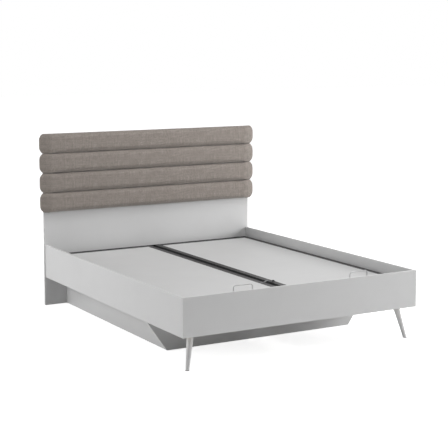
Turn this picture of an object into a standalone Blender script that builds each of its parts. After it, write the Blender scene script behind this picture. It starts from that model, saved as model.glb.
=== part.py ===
"""Double bed with an upholstered headboard and a lift-up base over a storage box.

Metres, +Z up, +Y towards the head, +X towards the right side rail as seen from the foot.
The origin is on the floor, in the middle of the bed's outline.
"""

import itertools
import math

import bmesh
import bpy
from mathutils import Matrix, Vector

# Mattress and the room around it
MATTRESS_WIDTH = 1.600
MATTRESS_LENGTH = 2.000
SIDE_PLAY = 0.009
END_PLAY = 0.030

# Laminated boards
BOARD = 0.016
EDGE_BREAK = 0.0008
THIN_EDGE_SHARE = 0.1

# Heights
RAIL_LOW = 0.200
RAIL_HEIGHT = 0.231
PLATFORM_DROP = 0.0686
HEADBOARD_HEIGHT = 1.210

# Clearances
GAP = 0.0003
OVERRUN = 0.010

# Places that follow from the sizes above
INNER_X = MATTRESS_WIDTH / 2 + SIDE_PLAY
OUTER_X = INNER_X + BOARD
HEAD_Y = (MATTRESS_LENGTH + END_PLAY) / 2
FOOT_Y = -HEAD_Y
BACK_Y = HEAD_Y + BOARD
FRONT_Y = FOOT_Y - BOARD
RAIL_TOP = RAIL_LOW + RAIL_HEIGHT
PLATFORM_TOP = RAIL_TOP - PLATFORM_DROP

SIDES = (("left", -1), ("right", 1))
ROUND_STEPS = 24


def clear_scene():
    for obj in list(bpy.data.objects):
        bpy.data.objects.remove(obj, do_unlink=True)


def finish(name, color, roughness, metallic=0.0):
    """A plain Principled material."""
    material = bpy.data.materials.new(name)
    material.use_nodes = True
    shader = material.node_tree.nodes["Principled BSDF"]
    shader.inputs["Base Color"].default_value = (*color, 1)
    shader.inputs["Roughness"].default_value = roughness
    shader.inputs["Metallic"].default_value = metallic
    return material


def add_object(name, data, material):
    obj = bpy.data.objects.new(name, data)
    bpy.context.scene.collection.objects.link(obj)
    if material:
        obj.data.materials.append(material)
    return obj


def from_bmesh(name, bm, material=None, smooth_angle=None):
    mesh = bpy.data.meshes.new(name)
    bm.to_mesh(mesh)
    bm.free()
    if smooth_angle is not None:
        mesh.shade_smooth()
        mesh.set_sharp_from_angle(angle=smooth_angle)
    return add_object(name, mesh, material)


def box_mesh(low, high):
    """A closed box between two corners given in any order."""
    bm = bmesh.new()
    bmesh.ops.create_cube(bm, size=1)
    low, high = Vector(low), Vector(high)
    size = Vector(abs(b - a) for a, b in zip(low, high))
    bmesh.ops.scale(bm, vec=size, verts=bm.verts)
    bmesh.ops.translate(bm, vec=(low + high) / 2, verts=bm.verts)
    return bm


def soften(obj, width, segments=1):
    bevel = obj.modifiers.new("edge", "BEVEL")
    bevel.width = width
    bevel.segments = segments
    bevel.limit_method = "ANGLE"
    return obj


def board(name, low, high, material, edge=EDGE_BREAK):
    """A board between two corners, its edges broken."""
    return soften(from_bmesh(name, box_mesh(low, high), material), edge)


def cylinder_mesh(start, end, radius, end_radius=None, steps=ROUND_STEPS):
    """A closed cylinder or cone between two points."""
    start, end = Vector(start), Vector(end)
    along = end - start
    bm = bmesh.new()
    bmesh.ops.create_cone(
        bm,
        cap_ends=True,
        segments=steps,
        radius1=radius,
        radius2=radius if end_radius is None else end_radius,
        depth=along.length,
    )
    turn = along.to_track_quat("Z", "Y").to_matrix().to_4x4()
    place = Matrix.Translation((start + end) / 2) @ turn
    bmesh.ops.transform(bm, matrix=place, verts=bm.verts)
    return bm


def prism_mesh(outline, low_x, high_x):
    """An outline in the YZ plane, drawn out along X."""
    low_x, high_x = sorted((low_x, high_x))
    bm = bmesh.new()
    face = bm.faces.new([bm.verts.new((low_x, y, z)) for y, z in outline])
    grown = bmesh.ops.extrude_face_region(bm, geom=[face])
    moved = [v for v in grown["geom"] if isinstance(v, bmesh.types.BMVert)]
    bmesh.ops.translate(bm, vec=(high_x - low_x, 0, 0), verts=moved)
    bmesh.ops.recalc_face_normals(bm, faces=bm.faces)
    return bm


def combine(obj, bm, operation):
    """Joins a shape to an object, or cuts it out, with a hidden helper."""
    helper = from_bmesh(f"{obj.name}_{operation.lower()}_{len(obj.modifiers)}", bm)
    helper.hide_render = True
    helper.display_type = "WIRE"
    step = obj.modifiers.new(helper.name, "BOOLEAN")
    step.operation = operation
    step.solver = "EXACT"
    step.object = helper
    return obj


def join(obj, bm):
    return combine(obj, bm, "UNION")


def cut(obj, bm):
    return combine(obj, bm, "DIFFERENCE")


def carry(children, name, y, z, parent=None):
    """An empty on a joint's axis, which the pieces that move with it are parented to."""
    empty = add_object_empty(name, (0, y, z))
    for child in children:
        child.parent = empty
        child.matrix_parent_inverse = Matrix.Translation((0, y, z)).inverted()
    if parent:
        empty.parent = parent
        empty.matrix_parent_inverse = Matrix.Translation(parent.location).inverted()
    return empty


def add_object_empty(name, location):
    empty = bpy.data.objects.new(name, None)
    empty.location = location
    bpy.context.scene.collection.objects.link(empty)
    return empty


# Headboard

# How far the panel stands out past each side rail
HEADBOARD_PROUD = 0.006
HEADBOARD_TOP_DROP = 0.050
ROLL_COUNT = 4
ROLL_PITCH = 0.1375
ROLL_DEPTH = 0.055
ROLL_BACK_DEPTH = 0.011
ROLL_OVERHANG = 0.032
ROLL_CORNER = 0.038
ROLL_END_ROUND = 0.056
ROLL_BOARD = 0.010
ROLL_BOARD_INSET = 0.022
ROLL_END_STEPS = 6
ROLL_SIDE_STEPS = 8
ROLL_FACE_STEPS = 12
ROLL_FULLNESS = 2.3
# The last station stops just short of the tip, so that the end stays a small closed face
ROLL_TIP_SHARE = 0.985
PANEL_X = OUTER_X + HEADBOARD_PROUD
ROLL_HALF_LENGTH = PANEL_X + ROLL_OVERHANG


def headboard_panel(laminate):
    top = HEADBOARD_HEIGHT - HEADBOARD_TOP_DROP
    return board("headboard_panel", (-PANEL_X, HEAD_Y, 0), (PANEL_X, BACK_Y, top), laminate)


def roll_section(x, half_length, half_height):
    """The D-shaped outline of a roll at x: (distance in front of its back, height) pairs."""
    past_corner = max(0.0, abs(x) - (half_length - ROLL_CORNER))
    past_round = max(0.0, abs(x) - (half_length - ROLL_END_ROUND))
    reach = half_height - ROLL_CORNER + math.sqrt(max(0.0, ROLL_CORNER**2 - past_corner**2))
    fall = math.sqrt(max(0.0, 1 - (past_round / ROLL_END_ROUND) ** 2))
    crown = (ROLL_DEPTH - ROLL_BACK_DEPTH) * fall
    power = 2 / ROLL_FULLNESS
    outline = [(0, -reach)]
    for step in range(ROLL_FACE_STEPS + 1):
        angle = math.pi * (step / ROLL_FACE_STEPS - 0.5)
        height = math.copysign(abs(math.sin(angle)) ** power, math.sin(angle))
        outline.append((ROLL_BACK_DEPTH + crown * abs(math.cos(angle)) ** power, reach * height))
    outline.append((0, reach))
    return outline


def roll_stations(half_length):
    """Places along a roll, closer together where its ends turn round."""
    straight = half_length - ROLL_END_ROUND
    ends = []
    for step in range(1, ROLL_END_STEPS + 1):
        angle = math.pi / 2 * step / ROLL_END_STEPS
        ends.append(straight + ROLL_END_ROUND * math.sin(angle) * ROLL_TIP_SHARE)
    middle = [straight * (2 * step / ROLL_SIDE_STEPS - 1) for step in range(ROLL_SIDE_STEPS + 1)]
    return [-x for x in reversed(ends)] + middle + ends


def headboard_roll(number, fabric):
    """One padded roll, with a pocket behind for the board that its fabric is stapled to."""
    half_length = ROLL_HALF_LENGTH
    half_height = (ROLL_PITCH - GAP) / 2
    middle = HEADBOARD_HEIGHT - ROLL_PITCH * (number - 0.5)
    back = HEAD_Y - GAP
    bm = bmesh.new()
    rings = []
    for x in roll_stations(half_length):
        outline = roll_section(x, half_length, half_height)
        rings.append([bm.verts.new((x, back - depth, middle + z)) for depth, z in outline])
    for ring, following in zip(rings, rings[1:]):
        for i in range(len(ring)):
            j = (i + 1) % len(ring)
            bm.faces.new((ring[i], ring[j], following[j], following[i]))
    bm.faces.new(rings[0])
    bm.faces.new(rings[-1])
    bmesh.ops.recalc_face_normals(bm, faces=bm.faces)
    roll = from_bmesh(f"headboard_roll_{number}", bm, fabric, math.radians(50))
    pocket_x = half_length - ROLL_BOARD_INSET + GAP
    pocket_z = half_height - ROLL_BOARD_INSET + GAP
    low = (-pocket_x, back - ROLL_BOARD - GAP, middle - pocket_z)
    high = (pocket_x, back + OVERRUN, middle + pocket_z)
    return cut(roll, box_mesh(low, high))


def roll_board(number, plywood):
    half_length = ROLL_HALF_LENGTH - ROLL_BOARD_INSET
    half_height = (ROLL_PITCH - GAP) / 2 - ROLL_BOARD_INSET
    middle = HEADBOARD_HEIGHT - ROLL_PITCH * (number - 0.5)
    back = HEAD_Y - GAP
    low = (-half_length, back - ROLL_BOARD, middle - half_height)
    return board(f"roll_board_{number}", low, (half_length, back, middle + half_height), plywood)


# Rails

def side_rail(name, side, laminate):
    low = (side * INNER_X, FOOT_Y + GAP, RAIL_LOW)
    return board(f"side_rail_{name}", low, (side * OUTER_X, HEAD_Y - GAP, RAIL_TOP), laminate)


def foot_rail(laminate):
    return board("foot_rail", (-OUTER_X, FRONT_Y, RAIL_LOW), (OUTER_X, FOOT_Y, RAIL_TOP), laminate)


# Legs in the foot corners

LEG_TOP_INSET = 0.093
LEG_TOP_SETBACK = 0.085
LEG_SPLAY = 0.043
LEG_TOP_RADIUS = 0.0205
LEG_FOOT_RADIUS = 0.0115
GLIDE_RADIUS = 0.0130
GLIDE_HEIGHT = 0.005
GLIDE_EDGE_SHARE = 0.2
LEG_PLATE = 0.0025
LEG_PLATE_HALF = 0.030
CORNER_BLOCK = 0.030
CORNER_BLOCK_SIDE = 0.125


def corner_block(name, side, timber):
    inner_x = INNER_X - GAP
    low = (side * inner_x, FOOT_Y + GAP, RAIL_LOW)
    high = (side * (inner_x - CORNER_BLOCK_SIDE), FOOT_Y + GAP + CORNER_BLOCK_SIDE, RAIL_LOW + CORNER_BLOCK)
    return board(f"corner_block_{name}", low, high, timber)


def leg_top_centre(side):
    return Vector((side * (OUTER_X - LEG_TOP_INSET), FRONT_Y + LEG_TOP_SETBACK, RAIL_LOW))


def leg_foot_centre(side):
    return leg_top_centre(side) + Vector((side * LEG_SPLAY, -LEG_SPLAY, -RAIL_LOW))


def leg_plate(name, side, steel):
    top = leg_top_centre(side)
    half = Vector((LEG_PLATE_HALF, LEG_PLATE_HALF, 0))
    low = top - half - Vector((0, 0, GAP + LEG_PLATE))
    return board(f"leg_plate_{name}", low, top + half - Vector((0, 0, GAP)), steel, EDGE_BREAK)


def trimmed(bm, height, direction):
    """Cuts a mesh level at a height and closes the cut. Direction 1 removes what is above."""
    everything = list(bm.verts) + list(bm.edges) + list(bm.faces)
    found = bmesh.ops.bisect_plane(
        bm, geom=everything, plane_co=(0, 0, height), plane_no=(0, 0, direction), clear_outer=True
    )
    rim = [edge for edge in found["geom_cut"] if isinstance(edge, bmesh.types.BMEdge)]
    bmesh.ops.edgenet_fill(bm, edges=rim)


def leg(name, side, paint):
    """A tapered leg that leans outward, cut level at the plate and above its glide."""
    top, foot = leg_top_centre(side), leg_foot_centre(side)
    along = (foot - top).normalized()
    taper = (LEG_TOP_RADIUS - LEG_FOOT_RADIUS) / (foot - top).length
    extra = LEG_TOP_RADIUS
    bm = cylinder_mesh(
        top - along * extra,
        foot + along * extra,
        LEG_TOP_RADIUS + taper * extra,
        LEG_FOOT_RADIUS - taper * extra,
    )
    trimmed(bm, RAIL_LOW - LEG_PLATE - 2 * GAP, 1)
    trimmed(bm, GLIDE_HEIGHT + GAP, -1)
    bmesh.ops.recalc_face_normals(bm, faces=bm.faces)
    return from_bmesh(f"leg_{name}", bm, paint, math.radians(40))


def glide(name, side, plastic):
    foot = leg_foot_centre(side)
    bm = cylinder_mesh(foot, foot + Vector((0, 0, GLIDE_HEIGHT)), GLIDE_RADIUS)
    obj = from_bmesh(f"glide_{name}", bm, plastic, math.radians(40))
    return soften(obj, GLIDE_HEIGHT * GLIDE_EDGE_SHARE)


# Storage box

BOX_INSET = 0.157
BOX_SETBACK = 0.500
BOX_SIDE_HEIGHT = 0.300
FLOOR_BEARER = 0.050
FLOOR_PANEL = 0.004
FLOOR_CLEAT = 0.020
BOX_OUTER_X = OUTER_X - BOX_INSET
BOX_INNER_X = BOX_OUTER_X - BOARD
BOX_FRONT_Y = FRONT_Y + BOX_SETBACK
BOX_BACK_Y = BOX_FRONT_Y + BOARD


def box_side(name, side, laminate):
    low = (side * BOX_INNER_X, BOX_BACK_Y + GAP, 0)
    return board(f"box_side_{name}", low, (side * BOX_OUTER_X, HEAD_Y - GAP, BOX_SIDE_HEIGHT), laminate)


def box_front(laminate):
    """A cross board between the side rails, whose ends slant in to the box below them."""
    wide, low_wide = INNER_X - GAP, BOX_OUTER_X
    half = [(low_wide, 0), (wide, RAIL_LOW), (wide, FRAME_LOW - GAP)]
    outline = half + [(-x, z) for x, z in reversed(half)]
    bm = bmesh.new()
    face = bm.faces.new([bm.verts.new((x, BOX_FRONT_Y, z)) for x, z in outline])
    grown = bmesh.ops.extrude_face_region(bm, geom=[face])
    moved = [v for v in grown["geom"] if isinstance(v, bmesh.types.BMVert)]
    bmesh.ops.translate(bm, vec=(0, BOARD, 0), verts=moved)
    bmesh.ops.recalc_face_normals(bm, faces=bm.faces)
    return soften(from_bmesh("box_front", bm, laminate), EDGE_BREAK)


def floor_bearer(laminate):
    low = (-BOARD / 2, BOX_BACK_Y + GAP, 0)
    return board("floor_bearer", low, (BOARD / 2, HEAD_Y - GAP, FLOOR_BEARER), laminate)


def floor_cleat(name, side, timber):
    outer_x = BOX_INNER_X - GAP
    low = (side * outer_x, BOX_BACK_Y + GAP, FLOOR_BEARER - FLOOR_CLEAT)
    high = (side * (outer_x - FLOOR_CLEAT), HEAD_Y - GAP, FLOOR_BEARER)
    return board(f"floor_cleat_{name}", low, high, timber)


def floor_panel(name, side, hardboard):
    low = (side * GAP, BOX_BACK_Y + GAP, FLOOR_BEARER + GAP)
    high = (side * (BOX_INNER_X - GAP), HEAD_Y - GAP, FLOOR_BEARER + GAP + FLOOR_PANEL)
    return board(f"floor_panel_{name}", low, high, hardboard, FLOOR_PANEL * THIN_EDGE_SHARE)


# Lifting platform

TUBE_WIDTH = 0.040
TUBE_HEIGHT = 0.030
TUBE_WALL = 0.0015
PANEL = 0.010
CENTRE_GAP = 0.036
PLATFORM_SIDE_GAP = 0.011
PLATFORM_HEAD_GAP = 0.040
PLATFORM_FOOT_GAP = 0.020
REAR_BAYS = 3
SAME_PLACE_DIGITS = 7
FRAME_LOW = PLATFORM_TOP - TUBE_HEIGHT
CROSS_TOP = PLATFORM_TOP - PANEL - GAP
FRAME_IN_X = CENTRE_GAP / 2
FRAME_OUT_X = INNER_X - PLATFORM_SIDE_GAP
FRAME_HEAD_Y = HEAD_Y - PLATFORM_HEAD_GAP
FRAME_FOOT_Y = FOOT_Y + PLATFORM_FOOT_GAP


def cross_tube_centres():
    """The first cross tube lies on the box front, the others share out the rest of the frame."""
    first = BOX_FRONT_Y + BOARD / 2
    last = FRAME_HEAD_Y - TUBE_WIDTH / 2
    return [first + (last - first) * bay / REAR_BAYS for bay in range(REAR_BAYS)]


def frame_tubes():
    """(low, high) corners of one frame's tubes, for the right side."""
    inner, outer = FRAME_IN_X, FRAME_OUT_X
    foot, head = FRAME_FOOT_Y, FRAME_HEAD_Y
    tubes = [
        ((inner, foot, FRAME_LOW), (inner + TUBE_WIDTH, head, PLATFORM_TOP)),
        ((outer - TUBE_WIDTH, foot, FRAME_LOW), (outer, head, PLATFORM_TOP)),
        ((inner, foot, FRAME_LOW), (outer, foot + TUBE_WIDTH, PLATFORM_TOP)),
        ((inner, head - TUBE_WIDTH, FRAME_LOW), (outer, head, PLATFORM_TOP)),
    ]
    for y in cross_tube_centres():
        low = (inner, y - TUBE_WIDTH / 2, FRAME_LOW)
        tubes.append((low, (outer, y + TUBE_WIDTH / 2, CROSS_TOP)))
    return tubes


def inset(box, wall):
    low, high = box
    return tuple(a + wall for a in low), tuple(b - wall for b in high)


def within_any(boxes, point):
    return any(all(a < p < b for a, p, b in zip(low, point, high)) for low, high in boxes)


def shell_mesh(solids, hollows, side):
    """One closed mesh of what lies in a solid box and in no hollow one, mirrored for the left side."""
    corners = [corner for box in solids + hollows for corner in box]
    lines = [sorted({round(corner[axis], SAME_PLACE_DIGITS) for corner in corners}) for axis in range(3)]

    def filled(cell):
        if any(i < 0 or i + 1 >= len(line) for i, line in zip(cell, lines)):
            return False
        middle = [(line[i] + line[i + 1]) / 2 for i, line in zip(cell, lines)]
        return within_any(solids, middle) and not within_any(hollows, middle)

    bm = bmesh.new()
    placed = {}

    def vertex(index):
        if index not in placed:
            x, y, z = (line[i] for i, line in zip(index, lines))
            placed[index] = bm.verts.new((side * x, y, z))
        return placed[index]

    for cell in itertools.product(*(range(len(line) - 1) for line in lines)):
        if not filled(cell):
            continue
        for axis, step in itertools.product(range(3), (0, 1)):
            beyond = list(cell)
            beyond[axis] += 2 * step - 1
            if filled(beyond):
                continue
            u, v = (axis + 1) % 3, (axis + 2) % 3
            ring = []
            for du, dv in ((0, 0), (1, 0), (1, 1), (0, 1)):
                index = list(cell)
                index[axis] += step
                index[u] += du
                index[v] += dv
                ring.append(vertex(tuple(index)))
            faces_out = (step == 1) == (side > 0)
            bm.faces.new(ring if faces_out else reversed(ring))
    return bm


def platform_frame(name, side, enamel):
    """A welded frame of thin-walled tube, hollow inside, with a drain hole below."""
    tubes = frame_tubes()
    hollows = [inset(tube, TUBE_WALL) for tube in tubes]
    frame = from_bmesh(f"platform_frame_{name}", shell_mesh(tubes, hollows, side), enamel)
    middle = PLATFORM_TOP - TUBE_HEIGHT / 2
    drain_x, drain_y = side * (FRAME_IN_X + TUBE_WIDTH / 2), FRAME_FOOT_Y + TUBE_WIDTH / 2
    drain_end = (drain_x, drain_y, FRAME_LOW - OVERRUN)
    cut(frame, cylinder_mesh((drain_x, drain_y, middle), drain_end, DRAIN_RADIUS))
    if side > 0:
        x, y = bolt_place()
        top = (x, y, PLATFORM_TOP + OVERRUN)
        cut(frame, cylinder_mesh((x, y, middle), top, BOLT_RADIUS + GAP))
    return frame


def platform_panel(name, side, laminate):
    near = FRAME_IN_X + TUBE_WIDTH + GAP
    far = FRAME_OUT_X - TUBE_WIDTH - GAP
    low = (side * near, FRAME_FOOT_Y + TUBE_WIDTH + GAP, PLATFORM_TOP - PANEL)
    high = (side * far, FRAME_HEAD_Y - TUBE_WIDTH - GAP, PLATFORM_TOP)
    return board(f"platform_panel_{name}", low, high, laminate)


# What joins the two frames: an arched strap near the foot end, a plate below near the head end

STRAP = 0.003
STRAP_WIDTH = 0.016
STRAP_FROM_FOOT = 0.395
STRAP_HALF = 0.052
STRAP_ARCH_HALF = 0.028
STRAP_RISE = 0.012
STRAP_STEPS = 10
JOINING_PLATE = 0.003
JOINING_LENGTH = 0.040
JOINING_FROM_HEAD = 0.400
JOINING_HALF = 0.050
BOLT_INSET = 0.011
BOLT_RADIUS = 0.004
BOLT_HEAD_RADIUS = 0.009
BOLT_HEAD = 0.006
BOLT_GRIP = 0.012
DRAIN_RADIUS = 0.004


def bolt_place():
    return STRAP_HALF - BOLT_INSET, FRAME_FOOT_Y + STRAP_FROM_FOOT


def joining_strap(enamel):
    """A flat strap over the middle gap, arched between its two ends, which lie on the frames."""
    x, y = bolt_place()
    low = [(-STRAP_HALF, 0)]
    for step in range(STRAP_STEPS + 1):
        along = 2 * step / STRAP_STEPS - 1
        low.append((STRAP_ARCH_HALF * along, STRAP_RISE * math.cos(math.pi / 2 * along) ** 2))
    low.append((STRAP_HALF, 0))
    outline = low + [(px, pz + STRAP) for px, pz in reversed(low)]
    bm = bmesh.new()
    seat = PLATFORM_TOP + GAP
    near = y - STRAP_WIDTH / 2
    face = bm.faces.new([bm.verts.new((px, near, seat + pz)) for px, pz in outline])
    grown = bmesh.ops.extrude_face_region(bm, geom=[face])
    moved = [v for v in grown["geom"] if isinstance(v, bmesh.types.BMVert)]
    bmesh.ops.translate(bm, vec=(0, STRAP_WIDTH, 0), verts=moved)
    bmesh.ops.recalc_face_normals(bm, faces=bm.faces)
    strap = from_bmesh("joining_strap", bm, enamel, math.radians(40))
    start = (x, y, PLATFORM_TOP - OVERRUN)
    return cut(strap, cylinder_mesh(start, (x, y, PLATFORM_TOP + OVERRUN), BOLT_RADIUS + GAP))


def joining_plate(enamel):
    y = FRAME_HEAD_Y - JOINING_FROM_HEAD
    low = (-JOINING_HALF, y - JOINING_LENGTH / 2, FRAME_LOW - GAP - JOINING_PLATE)
    high = (JOINING_HALF, y + JOINING_LENGTH / 2, FRAME_LOW - GAP)
    return board("joining_plate", low, high, enamel, JOINING_PLATE * THIN_EDGE_SHARE)


def joining_bolt(black):
    """A low round head on the strap's end, its shank down into the right frame's tube."""
    x, y = bolt_place()
    seat = PLATFORM_TOP + GAP + STRAP + GAP
    head = cylinder_mesh((x, y, seat), (x, y, seat + BOLT_HEAD), BOLT_HEAD_RADIUS)
    bolt = from_bmesh("joining_bolt", head, black, math.radians(40))
    start = (x, y, seat + BOLT_HEAD / 2)
    return join(bolt, cylinder_mesh((x, y, seat - BOLT_GRIP), start, BOLT_RADIUS))


# Mattress stops

STOP_WIRE = 0.0035
STOP_WIDTH = 0.128
STOP_HEIGHT = 0.098
STOP_CORNER = 0.026
STOP_CENTRE_SHARE = 0.513
STOP_CORNER_STEPS = 6


def stop_route():
    """The bent wire's centre line: up, over and down again, as (x, z) pairs."""
    half, top = STOP_WIDTH / 2, STOP_HEIGHT - STOP_WIRE
    rise = top - STOP_CORNER
    right = [(half, 0), (half, rise / 2)]
    for step in range(STOP_CORNER_STEPS + 1):
        angle = math.pi / 2 * step / STOP_CORNER_STEPS
        x = half - STOP_CORNER + STOP_CORNER * math.cos(angle)
        right.append((x, rise + STOP_CORNER * math.sin(angle)))
    return right + [(-x, z) for x, z in reversed(right)]


def mattress_stop(name, side, enamel):
    """A hoop of bent wire that stands on the frame's foot tube."""
    centre_x = side * FRAME_OUT_X * STOP_CENTRE_SHARE
    y = HEAD_Y - MATTRESS_LENGTH - STOP_WIRE - GAP
    curve = bpy.data.curves.new(f"mattress_stop_{name}", "CURVE")
    curve.dimensions = "3D"
    curve.bevel_depth = STOP_WIRE
    curve.bevel_resolution = 2
    curve.use_fill_caps = True
    points = stop_route()
    spline = curve.splines.new("POLY")
    spline.points.add(len(points) - 1)
    for target, (x, z) in zip(spline.points, points):
        target.co = (centre_x + x, y, PLATFORM_TOP + GAP + z, 1)
    return add_object(f"mattress_stop_{name}", curve, enamel)


# Ledges that the closed platform rests on

LEDGE_WIDTH = 0.030
LEDGE_HEIGHT = 0.040
LEDGE_END_GAP = 0.060
FOOT_LEDGE_END_GAP = 0.140
HEAD_LEDGE = 0.003
HEAD_LEDGE_DEPTH = 0.060
HEAD_LEDGE_DROP = 0.004
HEAD_LEDGE_END_GAP = 0.0005


def side_ledge(name, side, timber):
    outer = INNER_X - GAP
    low = (side * outer, BOX_BACK_Y + GAP, FRAME_LOW - GAP - LEDGE_HEIGHT)
    high = (side * (outer - LEDGE_WIDTH), PIVOT_B[0] - LEDGE_END_GAP, FRAME_LOW - GAP)
    return board(f"side_ledge_{name}", low, high, timber)


def foot_ledge(timber):
    half = INNER_X - FOOT_LEDGE_END_GAP
    low = (-half, FOOT_Y + GAP, FRAME_LOW - GAP - LEDGE_HEIGHT)
    high = (half, FOOT_Y + GAP + LEDGE_WIDTH, FRAME_LOW - GAP)
    return board("foot_ledge", low, high, timber)


def head_ledge(enamel):
    """A steel angle along the headboard. The platform's head end lies on its lower flange."""
    half, face = INNER_X - HEAD_LEDGE_END_GAP, HEAD_Y - GAP
    low_z, top_z = FRAME_LOW - GAP - HEAD_LEDGE, PLATFORM_TOP - HEAD_LEDGE_DROP
    outline = [
        (face, low_z),
        (face, top_z),
        (face - HEAD_LEDGE, top_z),
        (face - HEAD_LEDGE, low_z + HEAD_LEDGE),
        (face - HEAD_LEDGE_DEPTH, low_z + HEAD_LEDGE),
        (face - HEAD_LEDGE_DEPTH, low_z),
    ]
    bm = bmesh.new()
    end = bm.faces.new([bm.verts.new((-half, y, z)) for y, z in outline])
    grown = bmesh.ops.extrude_face_region(bm, geom=[end])
    moved = [v for v in grown["geom"] if isinstance(v, bmesh.types.BMVert)]
    bmesh.ops.translate(bm, vec=(2 * half, 0, 0), verts=moved)
    bmesh.ops.recalc_face_normals(bm, faces=bm.faces)
    return from_bmesh("head_ledge", bm, enamel)


# Steel angles that hold the side rails to the headboard

ANGLE = 0.003
ANGLE_LEG = 0.034
ANGLE_HEIGHT = 0.105
ANGLE_RISE = 0.012


def head_angle(name, side, zinc):
    inner, face = INNER_X - GAP, HEAD_Y - GAP
    low_z = RAIL_LOW + ANGLE_RISE
    outline = [
        (inner, face),
        (inner, face - ANGLE_LEG),
        (inner - ANGLE, face - ANGLE_LEG),
        (inner - ANGLE, face - ANGLE),
        (inner - ANGLE_LEG, face - ANGLE),
        (inner - ANGLE_LEG, face),
    ]
    bm = bmesh.new()
    face_low = bm.faces.new([bm.verts.new((side * x, y, low_z)) for x, y in outline])
    grown = bmesh.ops.extrude_face_region(bm, geom=[face_low])
    moved = [v for v in grown["geom"] if isinstance(v, bmesh.types.BMVert)]
    bmesh.ops.translate(bm, vec=(0, 0, ANGLE_HEIGHT), verts=moved)
    bmesh.ops.recalc_face_normals(bm, faces=bm.faces)
    return from_bmesh(f"head_angle_{name}", bm, zinc)


# Lift mechanism. Its pivots are (distance along Y, height) pairs: A and B are fixed to the
# side rail, C and D to the platform, G and H are the ends of the gas strut.

FROM_HEAD_A, RISE_A = 0.585, 0.040
FROM_HEAD_B, RISE_B = 0.693, 0.028
FROM_HEAD_C, BELOW_C = 0.334, 0.0144
FROM_HEAD_D, BELOW_D = 0.383, 0.0214
FROM_HEAD_G, RISE_G = 0.343, 0.024
FROM_HEAD_H, BELOW_H = 0.601, 0.0184
PIVOT_A = (HEAD_Y - FROM_HEAD_A, RAIL_LOW + RISE_A)
PIVOT_B = (HEAD_Y - FROM_HEAD_B, RAIL_LOW + RISE_B)
PIVOT_C = (HEAD_Y - FROM_HEAD_C, FRAME_LOW - BELOW_C)
PIVOT_D = (HEAD_Y - FROM_HEAD_D, FRAME_LOW - BELOW_D)
PIVOT_G = (HEAD_Y - FROM_HEAD_G, RAIL_LOW + RISE_G)
PIVOT_H = (HEAD_Y - FROM_HEAD_H, FRAME_LOW - BELOW_H)

RAIL_PLATE = 0.0025
ARM = 0.004
FRAME_PLATE = 0.003
LAYER_GAP = 0.0005
STUD_RADIUS = 0.005
STUD_HEAD_RADIUS = 0.011
STUD_HEAD = 0.003
SHOULDER = 0.002
ARM_HALF_WIDTH = 0.014
PIVOT_PLAY = 0.0003
OPEN_PIVOT_PLAY = 0.0033
RAIL_PLATE_MARGIN = 0.026
RAIL_PLATE_LOW_MARGIN = 0.018
RAIL_PLATE_TOP_MARGIN = 0.022
RAIL_PLATE_CORNER = 0.012
FRAME_PLATE_MARGIN = 0.024
FRAME_PLATE_DROP = 0.016
FRAME_FLANGE_MARGIN = 0.060
ARM_STEPS = 10

# Where each layer of the mechanism starts, going inward from the side rail
RAIL_PLATE_X = INNER_X - GAP
FRONT_ARM_X = RAIL_PLATE_X - RAIL_PLATE - LAYER_GAP
FRAME_PLATE_X = FRONT_ARM_X - ARM - LAYER_GAP
REAR_ARM_X = FRAME_PLATE_X - FRAME_PLATE - LAYER_GAP
REAR_HEAD_X = REAR_ARM_X - ARM - LAYER_GAP


def stud(side, pivot, from_x, to_x, radius):
    y, z = pivot
    return cylinder_mesh((side * from_x, y, z), (side * to_x, y, z), radius)


def link_outline(pivots, half_width):
    """The outline of a link of even width along two or three pivots, with round ends."""
    centres = [Vector(p) for p in pivots]
    runs = [(b - a).normalized() for a, b in zip(centres, centres[1:])]
    normals = [Vector((-run.y, run.x)) for run in runs]
    outline = []
    for centre, normal, turn in ((centres[0], normals[0], 1), (centres[-1], -normals[-1], 1)):
        start = math.atan2(normal.y, normal.x)
        for step in range(ARM_STEPS + 1):
            angle = start + turn * math.pi * step / ARM_STEPS
            outline.append(centre + half_width * Vector((math.cos(angle), math.sin(angle))))
        if len(centres) == 3:
            knee = (normals[0] + normals[1]) / (1 + normals[0].dot(normals[1]))
            reach = half_width * (knee if normal == -normals[-1] else -knee)
            outline.append(centres[1] + reach)
    return [(point.x, point.y) for point in outline]


def rail_bracket(name, side, zinc):
    """A plate screwed to the side rail, with the fixed pivots of both arms and of the strut."""
    low_y, high_y = PIVOT_B[0] - RAIL_PLATE_MARGIN, PIVOT_G[0] + RAIL_PLATE_MARGIN
    low_z, high_z = PIVOT_G[1] - RAIL_PLATE_LOW_MARGIN, PIVOT_A[1] + RAIL_PLATE_TOP_MARGIN
    c = RAIL_PLATE_CORNER
    outline = [
        (low_y + c, low_z),
        (high_y - c, low_z),
        (high_y, low_z + c),
        (high_y, high_z - c),
        (high_y - c, high_z),
        (low_y + c, high_z),
        (low_y, high_z - c),
        (low_y, low_z + c),
    ]
    inner_x = RAIL_PLATE_X - RAIL_PLATE
    plate = prism_mesh(outline, side * RAIL_PLATE_X, side * inner_x)
    bracket = from_bmesh(f"rail_bracket_{name}", plate, zinc, math.radians(40))
    root_x = RAIL_PLATE_X - RAIL_PLATE / 2
    ends = (
        (PIVOT_A, FRAME_PLATE_X, STUD_HEAD),
        (PIVOT_B, REAR_HEAD_X, STUD_HEAD),
        (PIVOT_G, STRUT_X - EYE_HALF_WIDTH - LAYER_GAP, STUD_HEAD),
    )
    for pivot, head_x, head in ends:
        join(bracket, stud(side, pivot, root_x, head_x - head / 2, STUD_RADIUS))
        join(bracket, stud(side, pivot, head_x, head_x - head, STUD_HEAD_RADIUS))
    shoulder_x = STRUT_X + EYE_HALF_WIDTH + LAYER_GAP
    join(bracket, stud(side, PIVOT_G, root_x, shoulder_x, STUD_RADIUS + SHOULDER))
    return bracket


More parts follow.
